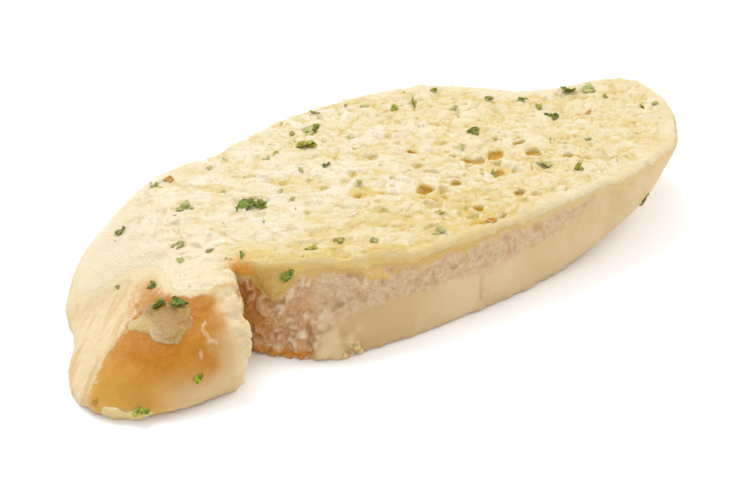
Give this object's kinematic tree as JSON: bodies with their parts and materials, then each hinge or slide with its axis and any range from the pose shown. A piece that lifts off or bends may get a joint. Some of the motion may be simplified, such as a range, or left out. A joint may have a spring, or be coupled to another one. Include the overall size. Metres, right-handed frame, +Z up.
{
  "type": "garlic bread slice",
  "caption": "Slice of French stick cut on the bias, spread with garlic butter and chopped parsley, with a browned crust end and a torn notch.",
  "frame": {"origin": "centre of the whole slice's box, on the surface that it lies on", "axes": "+X along the slice from the browned crust end to the far tip, +Y from the torn side to the whole side, +Z up from the lower cut face"},
  "size_m": [0.1568, 0.0717, 0.0199],
  "materials": {
    "bread": "dry baked crust, golden brown to pale, and a pale open crumb",
    "garlic_butter": "soft creamy butter, slightly glossy",
    "parsley": "chopped leaf, matte with a little sheen"
  },
  "bodies": {
    "root": {"bread_slice": "bread", "garlic_butter": "garlic_butter", "butter_dab_crust": "garlic_butter", "butter_dab_foot": "garlic_butter"}
  },
  "joints": []
}
